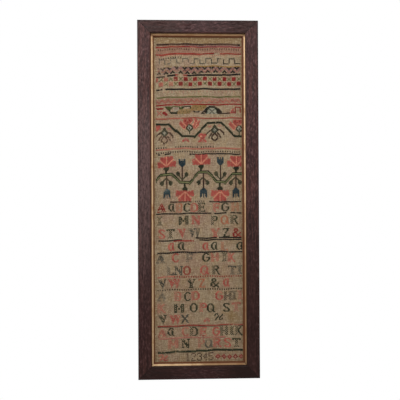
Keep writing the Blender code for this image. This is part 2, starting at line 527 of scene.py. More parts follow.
class Chart(dict):
    """Stitches by (column, row). Some lie between the squares, as where a worker counts by eye."""

    def draw(self, rows, left, top, ink=None, faded=0.0, reach=1.0, upside_down=False):
        """Puts a picture on. A % is a stitch of a chequered stem, on alternate squares."""
        for down, marks in enumerate(rows[::-1] if upside_down else rows):
            for across, mark in enumerate(marks):
                if mark == "." or (mark == "%" and (across + down) % 2):
                    continue
                code = ink if mark in "#%" else mark
                self[left + across, top + down] = Stitch(code, faded, reach)

    def line(self, row, ink, start=0, stop=CHART_COLUMNS, faded=0.0, every=1.0):
        """A solid line of long-armed stitches, or one with gaps."""
        reach = LONG_ARM if every == 1.0 else 1.0
        for place in np.arange(start, stop, every):
            self[float(place), row] = Stitch(ink, faded, reach)

    def thick_line(self, row, ink, start, stop, faded=0.0):
        for down in (0.0, HALF_ROW):
            self.line(row + down, ink, start, stop, faded)

    def dots(self, row, ink, start=0, stop=CHART_COLUMNS):
        """A row of upright dots, two stitches each."""
        for place in np.arange(start, stop, DOT_GAP):
            for down in (0.0, HALF_ROW):
                self[float(place), row + down] = Stitch(ink)

    def stem(self, column, start, stop):
        for row in range(start, stop):
            self[column, row] = Stitch("t", 0.0, LONG_ARM)

    def path(self, turning_points, inks, faded=0.0):
        """A line through (column, row) points, as many rows deep as there are inks, and one deeper
        where it slopes."""
        columns, rows = zip(*turning_points)
        for column in range(max(0, columns[0]), min(CHART_COLUMNS, columns[-1] + 1)):
            here, there = np.interp((column, column + 1), columns, rows)
            deep = inks[0] + inks if abs(there - here) > STEEP else inks
            for deeper, ink in enumerate(deep):
                self[column, round(here) + deeper] = Stitch(ink, faded, PATH_ARM)

    def letters(self, top, text):
        """A row of letters, each given as letter, ink and middle column. A capital ink code is a
        thread that has faded further."""
        for word in text.split():
            letter, ink, middle = word[0], word[1], int(word[2:])
            rows = LETTERS[letter]
            faded = LETTER_PALE if ink.isupper() else LETTER_FADED
            self.draw(rows, middle - len(rows[0]) // 2, top, ink=ink.lower(), faded=faded)


def top_borders(chart):
    chart.thick_line(6.2, "t", 1, 87, faded=0.1)
    chart.line(7.5, "p", 2, 86, faded=0.7, every=2)
    chart.line(9, "c", faded=0.25)
    chart.line(8.5, "m", 30, 87)
    for row in range(10, 16):
        chart.line(row, "p", row % 2, faded=0.85, every=2)
    for row in (11, 12):
        chart.line(row, "t", 2, 87, faded=0.4, every=DOT_GAP)
    chart.line(16, "c", 0, 60, faded=0.2)
    chart.line(16.5, "c", 4, 46, faded=0.35)
    chart.line(16, "c", 66, faded=0.3)
    chart.line(18, "q", 1, 86, faded=0.9, every=2)
    chart.dots(20, "t", 3, 27)


def meander(chart):
    """Squared waves, black on the right; what is left of them elsewhere is grey."""
    high, low, half_wave, shift = 21, 26, 6, 3
    black_from, grey_from = 68, 35
    for column in range(3, 87):
        grey = Stitch("s", 0.55 if column >= grey_from else 0.9)
        stitch = Stitch("k") if column >= black_from else grey
        run, place = divmod(column + shift, half_wave)
        chart[column, high if run % 2 else low] = stitch
        if place == 0:
            for row in range(high + 1, low):
                chart[column, row] = stitch


VALLEYS = (0, 7, 14, 21, 29, 36, 43, 50, 57, 65, 75, 83)


def trellis_band(chart):
    """Black chevrons that point down over others that point up, and a pink zigzag between on a
    mauve ground."""
    chart.line(29, "y", 8, 36, faded=0.6, every=2)
    chart.line(29, "y", 36, 87, faded=0.1)
    peaks = [(left + right) // 2 for left, right in zip(VALLEYS, VALLEYS[1:])]
    top, depth, reach, orange_until = 31, 3, 4, 13
    for column in range(2, 87):
        from_valley = min(abs(column - valley) for valley in VALLEYS)
        from_peak = min(abs(column - peak) for peak in peaks)
        lower = top + round(float(np.interp(column, (30, 62), (4.4, 2.6))))
        level = top + depth - min(from_valley, reach)
        chart[column, level + 1] = Stitch("a" if column < orange_until else "p", 0.4)
        for row in (level - 1, level + 2 * (column % 2)):
            chart.setdefault((column, row), Stitch("m", 0.5))
        for row in range(depth):
            if row <= depth - 1 - from_valley and (row or from_valley):
                chart[column, top + row - 1] = Stitch("k", 0.0, PATH_ARM)
            if from_peak <= row and (row < depth - 1 or from_peak):
                chart[column, lower + row - 1] = Stitch("k", 0.0, PATH_ARM)
    chart.line(39, "k", 1, 9)
    chart.thick_line(38, "k", 12, 20)
    chart.line(38, "c", 20, 23)
    chart.line(38, "c", 28, 32, faded=0.3)
    chart.thick_line(37.7, "k", 32, 68)
    chart.thick_line(37, "k", 68, 87)


def chequer_band(chart):
    """Two rows of crimson squares, olive crosses between them."""
    side, repeat = 4, 10
    looks = (("r", 0.0), ("r", 0.4), ("c", 0.35), ("c", 0.0))
    for first_row, first_column in ((40.3, -1.5), (45.3, 3.5)):
        for number, left in enumerate(np.arange(first_column, CHART_COLUMNS, repeat)):
            square = Stitch(*looks[min(number, len(looks) - 1)])
            for across in range(side):
                for down in range(side):
                    chart[left + across, first_row + down] = square
                    if across in (down, side - 1 - down):
                        chart[left + side + 1 + across, first_row + down] = Stitch("o", 0.7)
    chart.thick_line(52, "k", 1, 4)
    chart.line(52, "k", 5, 7)
    chart.thick_line(52, "k", 10, 87)
    chart.line(55, "p", 8, 84, faded=0.7, every=4)


def small_zigzag_band(chart):
    half_wave, bottom = 3, 66
    chart.line(60.2, "o", 1, 87, faded=0.5)
    for row in range(62, 67):
        chart.line(row, "p", row % 2, 87, faded=0.95, every=2)
    for column in range(1, 87):
        level = bottom - abs(column % (2 * half_wave) - half_wave)
        chart[column, level] = Stitch("r", 0.35)
        if column % 2:
            chart[column, level - 1] = Stitch("p", 0.7)
    chart.line(68, "c")


def leaf_and_arch_band(chart):
    chart.draw(RED_HOOK, 0, 71)
    chart.draw(GREEN_LEAVES, 9, 70)
    chart.draw(OCHRE_LEAF[:5], 22, 73, faded=0.9)
    chart.draw(OCHRE_LEAF, 36, 69, faded=0.3)
    chart.draw(LEAF_FOOT, 38, 75)
    chart.draw(ARCH, 46, 70)
    chart.line(77, "t", 69, 76)
    chart.draw(CRENEL, 76, 71)
    chart.line(82, "c", faded=0.85)


def honeysuckle_band(chart):
    vine = ((-1, 87), (13, 87), (27, 100), (39, 100), (52, 86), (67, 86), (81, 100), (89, 100))
    for left, top in ((-3, 91), (49, 89)):
        chart.draw(PENDANT, left, top, faded=0.25, reach=STOUT_ARM)
    chart.draw(ROSETTE[:6], -4, 89, faded=0.1)
    chart.draw(ROSETTE, 43, 98)
    chart.draw(SPRIG, 27, 103)
    for left, top in ((24, 83), (75, 84)):
        chart.draw(HONEYSUCKLE, left, top, faded=0.2)
    chart.path(vine, "gg")
    for start, stop in ((0, 12), (20, 42), (46, 59)):
        chart.dots(111, "k", start, stop)
    chart.line(113, "r", faded=0.7)
    chart.dots(116, "k")


def carnation_band(chart):
    """A waved vine with carnations over it and under it, and a tulip opposite each."""
    chart.line(118, "k", 2, 4)
    chart.line(118, "k", 9, 15)
    chart.line(118.5, "k", 34, 87)
    vine = ((-3, 146), (4, 138), (16, 138), (24, 146), (34, 146), (43, 136), (53, 136), (62, 146))
    chart.path((*vine, (70, 146), (78, 138), (90, 138)), "glg", faded=0.2)
    low_tulip, low_leaves, first_stem = 154, 143, 10.4
    for flower, stem, high in ((10.4, first_stem, 138), (46, 48, 136), (82, 81.5, 138)):
        chart.draw(CARNATION, flower - 9, high - 17)
        chart.stem(stem, high + 3, low_tulip)
        chart.draw(LEAF_PAIR, stem - 6.5, low_leaves, faded=0.3, upside_down=True)
        faded = 0.4 if stem == first_stem else 0.1
        chart.draw(TULIP, stem - 3, low_tulip, faded=faded, upside_down=True)
    for flower, stem, top in ((29, 26, 124), (65, 65.3, 122.5)):
        chart.stem(stem, round(top) + 8, 146)
        chart.draw(TULIP[2:], stem - 3, top, faded=0.15)
        chart.draw(LEAF_PAIR, stem - 6, 137, faded=0.35)
        chart.draw(CARNATION, flower - 9, 149, upside_down=True)
    chart.line(167, "t", 14, 36, faded=0.4)
    chart.line(167, "k", 40, 49, every=2)
    chart.line(167, "k", 54, 65, faded=0.2)
    chart.line(167.6, "k", 65, 87)


def lettering_upper(chart):
    chart.letters(169, "Ac5 ag15 BA23 Cg31 Dr39 Eg46 Fr61 Gg71 HA81")
    for start, stop in ((0, 56), (59, 72), (76, 87)):
        chart.line(179, "k", start, stop)
    chart.letters(182, "Ig3 Mg28 Nr40 Pg59 QA70 Rg80")
    chart.letters(195, "Sr5 Tg14 Vr26 Ws38 Yr60 Zg71 &c82")
    chart.line(206, "k", 2, 26, faded=0.1)
    chart.line(207, "c", 18, 38)
    chart.line(204, "k", 40, 87)
    chart.line(206, "k", 44, 87)


def lettering_small(chart):
    chart.letters(209, "ar15 ag25 ar50 ag59 LA69 ag85")
    chart.line(218.4, "k", 1)
    chart.line(219, "k", 1, 60, faded=0.3, every=2)


def lettering_middle(chart):
    chart.letters(220, "AS4 Cr19 FS33 Gg51 Hr60 Ig69 Kr77")
    chart.letters(233, "LS14 Ns22 OC31 Qr49 Rg61 Ts77 Is85")
    chart.dots(243, "c", 18, 87)
    chart.line(243, "r", 1, 18, faded=0.6)
    chart.letters(246, "Vs6 Wr17 Yg35 ZA46 &g59 ar71")
    chart.dots(256, "k", 1, 87)


def lettering_lower(chart):
    chart.letters(259, "AS5 BR21 Cg31 Dr40 Gr64 Hk73 Ik79 IR85")
    chart.letters(271, "KR5 Mg23 Og38 Pr47 Qg55 Sg71 TR81")
    chart.letters(282, "Vg6 Wr18 Xs29")
    chart.draw(SPRIG, 48, 286, faded=0.4)
    chart.draw(SCROLL, 59, 281, ink="g", faded=0.1)
    chart.line(292.8, "c", 1, faded=0.4)
    chart.line(293.3, "t", 1, faded=0.7)
    chart.letters(295, "AR5 ag14 CR29 Dg38 Er47 Gr61 Hg69 Ig76 Kg84")
    chart.line(305, "p", 2, 70, faded=0.4)
    chart.letters(307, "MR17 Ng29 PR45 QS53 Rr62 Sr72 Tg81")


def foot_border(chart):
    for row, start, stop in ((318.6, 1, 88), (317.8, 40, 88), (319.4, 1, 40)):
        chart.line(row, "g", start, stop)
    chart.draw(SCROLL, 2, 321, ink="r", faded=0.4)
    chart.letters(321, "1T31 2T37 3t43 4T49 5T55")
    for left in range(60, 85, 6):
        chart.draw(DIAMOND, left, 323)


Band = namedtuple("Band", "name chart_work lost")
BANDS = (
    Band("top_borders", top_borders, 0.02),
    Band("meander", meander, 0.04),
    Band("trellis_band", trellis_band, 0.04),
    Band("chequer_band", chequer_band, 0.02),
    Band("small_zigzag_band", small_zigzag_band, 0.04),
    Band("leaf_and_arch_band", leaf_and_arch_band, 0.02),
    Band("honeysuckle_band", honeysuckle_band, 0.02),
    Band("carnation_band", carnation_band, 0.01),
    Band("lettering_upper", lettering_upper, 0.03),
    Band("lettering_small", lettering_small, 0.03),
    Band("lettering_middle", lettering_middle, 0.04),
    Band("lettering_lower", lettering_lower, 0.04),
    Band("foot_border", foot_border, 0.05),
)


# Materials

Coat = namedtuple("Coat", "low high most colour")


class Shader:
    """Short forms for building one material's nodes."""

    def __init__(self, name):
        self.material = bpy.data.materials.new(name)
        self.material.use_nodes = True
        self.tree = self.material.node_tree
        self.surface = self.tree.nodes["Principled BSDF"]

    def node(self, kind, **settings):
        made = self.tree.nodes.new("ShaderNode" + kind)
        for key, value in settings.items():
            setattr(made, key, value)
        return made

    def join(self, source, socket):
        """Wires a node's output to a socket, or sets the socket to a number or a colour."""
        if isinstance(source, bpy.types.NodeSocket):
            self.tree.links.new(source, socket)
        else:
            socket.default_value = source

    def attribute(self, name):
        return self.node("Attribute", attribute_name=name).outputs["Fac"]

    def uv_axes(self, name):
        return self.axes(self.node("UVMap", uv_map=name).outputs["UV"])

    def place(self, scale=(1.0, 1.0, 1.0), offset=(0.0, 0.0, 0.0)):
        """Object coordinates, stretched."""
        mapping = self.node("Mapping")
        self.join(self.node("TexCoord").outputs["Object"], mapping.inputs["Vector"])
        mapping.inputs["Scale"].default_value = scale
        mapping.inputs["Location"].default_value = offset
        return mapping.outputs["Vector"]

    def axes(self, vector=None):
        """X, Y and Z of a vector, or of the place on the object."""
        made = self.node("SeparateXYZ")
        self.join(self.place() if vector is None else vector, made.inputs["Vector"])
        return made.outputs

    def noise(self, scale, offset=(0.0, 0.0, 0.0), detail=3.0, roughness=0.55):
        """Noise from 0 to 1, so fine along each axis, or so fine along all three."""
        scales = (scale, scale, scale) if isinstance(scale, float) else scale
        made = self.node("TexNoise")
        self.join(self.place(scales, offset), made.inputs["Vector"])
        for name, value in (("Scale", 1.0), ("Detail", detail), ("Roughness", roughness)):
            made.inputs[name].default_value = value
        return made.outputs["Fac"]

    def math(self, operation, *values):
        made = self.node("Math", operation=operation)
        for socket, value in zip(made.inputs, values):
            self.join(value, socket)
        return made.outputs[0]

    def times(self, *factors):
        """The product of all the factors."""
        product = factors[0]
        for factor in factors[1:]:
            product = self.math("MULTIPLY", product, factor)
        return product

    def line(self, value, slope, start):
        """value * slope + start"""
        return self.math("MULTIPLY_ADD", value, slope, start)

    def less(self, value, other):
        """value - other"""
        return self.math("SUBTRACT", value, other)

    def size(self, value):
        """The value without its sign."""
        return self.math("ABSOLUTE", value)

    def arch(self, turns):
        """Rounded ridges, one for each turn: 0 at whole turns and 1 half-way."""
        return self.size(self.math("SINE", self.times(turns, pi)))

    def between(self, value, low, high):
        """0 at low, 1 at high and smooth between. Either may be the larger."""
        made = self.node("MapRange", interpolation_type="SMOOTHSTEP")
        for name, source in (("Value", value), ("From Min", low), ("From Max", high)):
            self.join(source, made.inputs[name])
        return made.outputs["Result"]

    def mix(self, share, first, second, blend="MIX"):
        """The first colour where the share is 0, the second where it is 1."""
        made = self.node("Mix", data_type="RGBA", blend_type=blend)
        colours = [socket for socket in made.inputs if socket.type == "RGBA"]
        self.join(share, made.inputs["Factor"])
        self.join(first, colours[0])
        self.join(second, colours[1])
        return [socket for socket in made.outputs if socket.type == "RGBA"][0]

    def coats(self, tone, *layers):
        """Lays coats over the tone in turn. Each goes with a value: none of the coat where that is
        low, most where it is high."""
        for value, coat in layers:
            share = self.between(value, coat.low, coat.high)
            tone = self.mix(self.times(share, coat.most), tone, coat.colour)
        return tone

    def bump(self, height, distance):
        made = self.node("Bump")
        self.join(height, made.inputs["Height"])
        made.inputs["Distance"].default_value = distance
        self.join(made.outputs["Normal"], self.surface.inputs["Normal"])

    def finish(self, colour, roughness, specular=0.5, sheen=0.0):
        self.join(colour, self.surface.inputs["Base Color"])
        self.join(roughness, self.surface.inputs["Roughness"])
        self.surface.inputs["Specular IOR Level"].default_value = specular
        self.surface.inputs["Sheen Weight"].default_value = sheen
        return self.material


# Stained oak: the grain's two tones, then what lies over them
OAK_TONES = linear(31, 13, 11), linear(78, 44, 40)
OAK_BLOTCH = Coat(0.40, 0.70, 1.0, linear(56, 27, 28))
# Painted sheen: the pale colour laid where the lamps' reflection falls on the rails
OAK_PAINTED_SHEEN = linear(104, 84, 82)
OAK_WORN = Coat(0.60, 0.78, 0.4, linear(102, 68, 64))
OAK_PALE_FLECK = Coat(0.50, 0.70, 0.5, linear(114, 82, 80))
OAK_DARK_FLECK = Coat(0.50, 0.32, 0.7, linear(30, 12, 9))
OAK_PORE = Coat(0.58, 0.66, 0.7, linear(22, 10, 8))
OAK_MITRE = Coat(0.0021, 0.0002, 0.8, linear(14, 7, 6))
# Painted shade on the rounded outer arris and along the sight edge, where the wood turns away from
# the lamps
OAK_ARRIS_SHADE = Coat(0.0028, 0.0008, 0.7, linear(24, 10, 8))
OAK_SIGHT_SHADE = Coat(RAIL_WIDTH - 0.0032, RAIL_WIDTH - 0.0014, 0.5, linear(58, 28, 16))
# The colour of the painted shade towards the foot, the right, the head and the corners
OAK_PAINTED_SHADE = linear(30, 11, 6)
GRAIN_ALONG, GRAIN_ACROSS = 16.0, 420.0
FLECK_ALONG, FLECK_ACROSS = 150.0, 370.0
PORES_FINER = 2.2
MITRE_LEAST = 0.0005
PAINTED_SHEEN_MOST = 0.36

# Where the rails' painted sheen and painted shade change: none of the change at the first place,
# all of it at the second. The level rails' painted shade deepens both ways from
# LEVEL_RAILS_PALEST.
PAINTED_SHEEN_FROM_ABOVE = (-0.10, -0.24)
PAINTED_SHEEN_FROM_BELOW = (-0.57, -0.38)
TO_THE_RIGHT = (-0.02, 0.09)
TO_THE_FOOT = (-0.23, -0.56)
TO_THE_HEAD = (-0.10, 0.0)
TO_THE_CORNERS = (0.02, 0.08)
LEVEL_RAILS_PALEST = 0.01


def make_oak(name, along):
    """Dark stained oak with its grain along x or z: open pores and worn pale streaks, dark at the
    mitres; painted shade round the outer arris, along the sight edge and towards the foot, the
    right, the head and the corners, and a painted sheen half-way down the left."""
    shader = Shader(name)

    def stretched(fine_along, fine_across):
        ends = (fine_along, fine_across) if along == "x" else (fine_across, fine_along)
        return (ends[0], fine_across, ends[1])

    grain = stretched(GRAIN_ALONG, GRAIN_ACROSS)
    streaks = shader.noise(grain, detail=5.0, roughness=0.7)
    fine_grain = tuple(PORES_FINER * scale for scale in grain)
    pores = shader.noise(fine_grain, (3.1, 0.7, 5.3), detail=2.0)
    blotches = shader.noise(11.0)
    flecks = shader.noise(stretched(FLECK_ALONG, FLECK_ACROSS), (1.7, 4.1, 2.9), roughness=0.65)
    from_edge, from_mitre = frame_distances(shader)
    x, _, z = shader.axes()

    tone = shader.mix(shader.between(streaks, 0.34, 0.66), *OAK_TONES)
    tone = shader.coats(tone, (blotches, OAK_BLOTCH))
    on_right = shader.between(x, *TO_THE_RIGHT)
    # Painted sheen: most half-way down, none of it on the right
    below, above = shader.between(z, *PAINTED_SHEEN_FROM_ABOVE), shader.between(z, *PAINTED_SHEEN_FROM_BELOW)
    painted_sheen = shader.times(below, above, PAINTED_SHEEN_MOST, shader.less(1.0, on_right))
    ragged = shader.line(streaks, OAK_MITRE.low - MITRE_LEAST, MITRE_LEAST)
    tone = shader.coats(
        shader.mix(painted_sheen, tone, OAK_PAINTED_SHEEN),
        (streaks, OAK_WORN),
        (flecks, OAK_PALE_FLECK),
        (flecks, OAK_DARK_FLECK),
        (pores, OAK_PORE),
        (from_mitre, OAK_MITRE._replace(low=ragged)),
        # Painted shade on the outer arris and the sight edge
        (from_edge, OAK_ARRIS_SHADE),
        (from_edge, OAK_SIGHT_SHADE),
    )

    # Painted shade: darker towards the foot and more so on the right, and on the level rails also
    # towards the corners and the head
    deep = shader.times(shader.between(z, *TO_THE_FOOT), shader.line(on_right, 0.24, 0.42))
    if along == "x":
        from_palest = shader.size(shader.less(x, LEVEL_RAILS_PALEST))
        deep = shader.line(shader.between(from_palest, *TO_THE_CORNERS), 0.42, deep)
        deep = shader.line(shader.between(z, *TO_THE_HEAD), 0.13, deep)
    tone = shader.mix(deep, tone, OAK_PAINTED_SHADE)

    pore = shader.between(pores, OAK_PORE.low, OAK_PORE.high)
    shader.bump(shader.less(streaks, shader.times(pore, 0.8)), 0.00034)
    return shader.finish(tone, shader.line(streaks, 0.20, 0.42), specular=0.20)


def frame_distances(shader):
    """Distances of a point on the rails from the frame's outer edge and from the nearest mitre."""
    x, _, z = shader.axes()
    side = shader.less(FRAME_HALF_WIDTH, shader.size(x))
    end = shader.less(FRAME_HALF_HEIGHT, shader.size(shader.less(z, FRAME_CENTRE_Z)))
    return shader.math("MINIMUM", side, end), shader.size(shader.less(side, end))


# Gilding starts this far out from the linen that shows, later on the right and sooner on the left
GILT_STARTS = 0.0024
GILT_SOONER_LEFT = 0.0007
GILT_LATER_RIGHT = 0.0009
GILT_SOFT_EDGE = 0.0008
GILT_BROWN_OUTER_LEFT = (0.0046, 0.0053)
GILT_TONES = linear(200, 168, 128), linear(166, 124, 82)
# The colour of the painted shade on the gilding
GILT_PAINTED_SHADE = linear(132, 96, 62)
# Dark worn gilt in the hollow along the linen, deepened further as painted shade
GILT_HOLLOW_PATINA_AND_SHADE = linear(92, 50, 22)


def make_gilt():
    """Old gilding, brown along the rail on the left and along the linen on the right, and with
    painted shade at the top and low on the right."""
    shader = Shader("gilt")
    x, _, z = shader.axes()
    from_centre = shader.less(z, FRAME_CENTRE_Z)
    # How far a point is out beyond the linen that shows, sideways and up or down
    across = shader.less(shader.size(x), LINEN_WIDTH / 2)
    along = shader.less(shader.size(from_centre), LINEN_HEIGHT / 2)
    rubs = shader.noise(60.0, detail=4.0)
    upright = shader.math("GREATER_THAN", across, along)
    left = shader.times(upright, shader.math("LESS_THAN", x, 0.0))
    right = shader.less(upright, left)
    starts = shader.line(left, -GILT_SOONER_LEFT, GILT_STARTS)
    starts = shader.line(right, GILT_LATER_RIGHT, starts)
    outward = shader.math("MAXIMUM", across, along)
    strip = shader.math("ADD", outward, shader.line(rubs, -GILT_SOFT_EDGE, GILT_SOFT_EDGE / 2))
    gilded = shader.between(strip, starts, shader.math("ADD", starts, GILT_SOFT_EDGE))
    # A brown band on the left slip, next to the rail
    brown_outer = shader.times(left, shader.between(strip, *GILT_BROWN_OUTER_LEFT))
    face = shader.times(gilded, shader.less(1.0, brown_outer))
    # Painted shade: the top slip and the lower part of the right slip darker
    high = shader.between(z, SIGHT_TOP - 0.002, SIGHT_TOP + 0.002)
    low = shader.between(from_centre, 0.02, -0.16)
    low_right_shade = shader.times(shader.between(x, 0.0, 0.01), low)
    painted_shade = shader.math("MAXIMUM", high, low_right_shade)
    bright = shader.mix(shader.between(rubs, 0.45, 0.75), *GILT_TONES)
    bright = shader.mix(shader.times(painted_shade, 0.75), bright, GILT_PAINTED_SHADE)
    shader.join(shader.times(face, 0.35), shader.surface.inputs["Metallic"])
    shader.bump(rubs, 0.0001)
    # Off the gilt face: the hollow's colour, partly patina and partly painted shade
    tone = shader.mix(face, GILT_HOLLOW_PATINA_AND_SHADE, bright)
    return shader.finish(tone, shader.line(rubs, 0.3, 0.36), specular=0.25)


LINEN_TONES = linear(155, 138, 111), linear(149, 121, 100)
LINEN_PATCH = Coat(0.42, 0.72, 1.0, linear(154, 130, 96))
LINEN_STAIN_AND_SHADE = linear(130, 102, 60)
LINEN_DYED = linear(172, 106, 86)
PALE_SLUB = Coat(0.98, 1.25, 0.5, linear(184, 166, 136))
DARK_SLUB = Coat(1.02, 0.76, 0.5, linear(122, 98, 76))
DARK_SPECK = Coat(0.52, 0.68, 0.5, linear(104, 82, 62))
PALE_SPECK = Coat(0.46, 0.30, 0.4, linear(190, 172, 144))
# Painted shade where the woven threads dip under one another
WEAVE_GAP_SHADE = Coat(0.75, 0.1, 0.6, linear(62, 44, 32))
THREAD_DIPS = 0.4


def make_linen_material():
    """Aged plain-weave linen; its UVs count stitches, two threads to each."""
    shader = Shader("linen")
    threads = [shader.times(axis, THREADS_PER_STITCH) for axis in shader.uv_axes("chart")[:2]]
    rounds = [shader.arch(thread) for thread in threads]
    count = shader.math("ADD", *(shader.math("FLOOR", thread) for thread in threads))
    warp_on_top = shader.math("PINGPONG", count, 1.0)
    warp, weft = (
        shader.times(own, shader.line(other, THREAD_DIPS, 1.0 - THREAD_DIPS))
        for own, other in (rounds, rounds[::-1])
    )
    weft_shows = shader.times(weft, shader.less(1.0, warp_on_top))
    height = shader.math("ADD", shader.times(warp, warp_on_top), weft_shows)
    stains = shader.noise((26.0, 26.0, 19.0))
    patches = shader.noise((90.0, 90.0, 70.0), (4.0, 1.0, 2.0))
    slubs_across = shader.noise((90.0, 300.0, 560.0), detail=2.0)
    slubs_down = shader.noise((560.0, 300.0, 90.0), (7.0, 0.0, 3.0), detail=2.0)
    slubs = shader.math("ADD", slubs_across, slubs_down)
    specks = shader.noise(430.0, detail=2.0)
    tone = shader.mix(shader.between(stains, 0.36, 0.66), *LINEN_TONES)
    tone = shader.coats(tone, (patches, LINEN_PATCH))
    tone = shader.mix(shader.attribute("stain_and_shade"), tone, LINEN_STAIN_AND_SHADE)
    tone = shader.coats(
        shader.mix(shader.attribute("dye"), tone, LINEN_DYED),
        (slubs, PALE_SLUB),
        (slubs, DARK_SLUB),
        (specks, DARK_SPECK),
        (specks, PALE_SPECK),
        (height, WEAVE_GAP_SHADE),
    )
    shader.bump(height, 0.00026)
    return shader.finish(tone, 0.9, specular=0.25, sheen=0.15)


def make_thread_material(thread):
    """Twisted thread: fresh where the wear attribute is 0, faded where it is 1."""
    shader = Shader("thread_" + thread.name)
    tone = shader.mix(shader.attribute("wear"), thread.fresh, thread.faded)
    along, round_it, _ = shader.uv_axes("twist")
    ply = shader.arch(shader.math("ADD", along, round_it))
    # Painted shade in the grooves between the plies
    ply_groove_shade = (*(0.45 * value for value in thread.fresh[:3]), 1.0)
    tone = shader.coats(tone, (ply, Coat(0.6, 0.0, 0.45, ply_groove_shade)))
    lighter = shader.line(shader.attribute("shade"), 0.5, 0.75)
    tint = shader.node("CombineXYZ")
    for socket in tint.inputs:
        shader.join(lighter, socket)
    tone = shader.mix(1.0, tone, tint.outputs["Vector"], blend="MULTIPLY")
    shader.bump(ply, 0.00012)
    return shader.finish(tone, 0.8, specular=0.15, sheen=0.05)


def make_board_material():
    """Thin brown board, its fibres along the frame's height."""
    shader = Shader("board")
    fibres = shader.noise((260.0, 90.0, 30.0), detail=4.0)
    marks = shader.noise((14.0, 14.0, 10.0))
    brown, pale = linear(128, 104, 76), linear(160, 136, 104)
    tone = shader.mix(shader.between(fibres, 0.3, 0.7), brown, pale)
    tone = shader.coats(tone, (marks, Coat(0.5, 0.8, 1.0, linear(104, 80, 56))))
    shader.bump(fibres, 0.0002)
    return shader.finish(tone, 0.88)


def make_floor_material():
    shader = Shader("pale_floor")
    tone = shader.mix(shader.noise(2.0), linear(238, 238, 236), linear(246, 246, 244))
    shader.surface.inputs["Emission Color"].default_value = linear(244, 244, 242)
    shader.surface.inputs["Emission Strength"].default_value = 0.35
    return shader.finish(tone, 0.9)


# Pieces

def make_linen(material, dye_marks):
    """The cloth: one thin sheet, its grid one stitch wide so that it follows the worked rows."""
    sides = np.array([SIGHT_LEFT - LINEN_MARGIN, SIGHT_RIGHT + LINEN_MARGIN])
    ends = np.array([-LINEN_MARGIN, LINEN_HEIGHT + LINEN_MARGIN])
    columns = np.linspace(*((sides - CHART_START_X) / STITCH_ACROSS), LINEN_GRID[0])
    rows = np.linspace(*(ends / STITCH_DOWN), LINEN_GRID[1])
    grid_columns, grid_rows = np.meshgrid(columns, rows)
    x, down = on_linen(grid_columns, grid_rows)
    points = in_space(x, down, 0.0).reshape(-1, 3)
    index = np.arange(x.size).reshape(x.shape)
    faces = np.stack([index[:-1, :-1], index[1:, :-1], index[1:, 1:], index[:-1, 1:]], axis=-1)
    faces = faces.reshape(-1, 4)
    chart_places = np.stack([grid_columns.ravel(), grid_rows.ravel()], axis=-1)
    linen = mesh_piece("linen", points, faces, {"chart": chart_places[faces.ravel()]})
    linen.data.materials.append(material)
    place = np.stack([x.ravel(), down.ravel()], axis=-1)
    set_attribute(linen.data, "stain_and_shade", stains_and_slip_shade(place))
    set_attribute(linen.data, "dye", dye_at(place, dye_marks))
    thickness = linen.modifiers.new("thickness", "SOLIDIFY")
    thickness.thickness = LINEN_THICKNESS
    thickness.offset = -1.0
    return linen


# Yellow stains, out to where the squared distance, in reaches, is STAIN_EDGE, and a band all along
# the slip that is partly stain and partly painted shade from the slip
STAIN_EDGE = 1.2
SLIP_STAIN_AND_SHADE_REACH = 0.004
SLIP_STAIN_AND_SHADE_STRENGTH = 0.8
Stain = namedtuple("Stain", "x down reach_across reach_down strength")
YELLOW_STAINS = (
    Stain(0.000, 0.004, 0.110, 0.016, 0.85),
    Stain(0.066, 0.538, 0.016, 0.018, 0.60),
    Stain(0.062, 0.532, 0.009, 0.012, 0.95),
    Stain(-0.078, 0.420, 0.010, 0.120, 0.20),
    Stain(0.076, 0.300, 0.014, 0.140, 0.30),
    Stain(0.000, 0.540, 0.200, 0.150, 0.22),
    Stain(0.000, 0.592, 0.110, 0.014, 0.30),
    Stain(-0.078, 0.608, 0.014, 0.012, 0.60),
)

# Red dye that has crept into the linen
DYE_INKS = "rcp"
DYE_REACH = 0.0030
DYE_PER_STITCH = 0.35
DYE_MOST = 0.32


def stains_and_slip_shade(place):
    total = np.zeros(len(place))
    for stain in YELLOW_STAINS:
        across = (place[:, 0] - stain.x) / stain.reach_across
        along = (place[:, 1] - stain.down) / stain.reach_down
        share = smooth_step(STAIN_EDGE - across**2 - along**2)
        total = np.maximum(total, stain.strength * share)
    # Beside the slip: stain deepened as painted shade from the slip
    beside_slip = smooth_step(1.0 - within_sight(place[:, 0], place[:, 1]) / SLIP_STAIN_AND_SHADE_REACH)
    return np.maximum(total, SLIP_STAIN_AND_SHADE_STRENGTH * beside_slip)


def dye_at(place, marks):
    """How much dye is in the linen at each place, from the marks within reach of it."""
    dye = np.zeros(len(place))
    cells = {}
    for x, down in marks:
        cells.setdefault((int(x // DYE_REACH), int(down // DYE_REACH)), []).append((x, down))
    for number, (x, down) in enumerate(place):
        near = 0.0
        home = (int(x // DYE_REACH), int(down // DYE_REACH))
        for cell in ((home[0] + i, home[1] + j) for i in (-1, 0, 1) for j in (-1, 0, 1)):
            for mark in cells.get(cell, ()):
                distance = ((x - mark[0]) ** 2 + (down - mark[1]) ** 2) / DYE_REACH**2
                near += max(0.0, 1.0 - distance)
        dye[number] = min(1.0, near * DYE_PER_STITCH)
    return dye * DYE_MOST


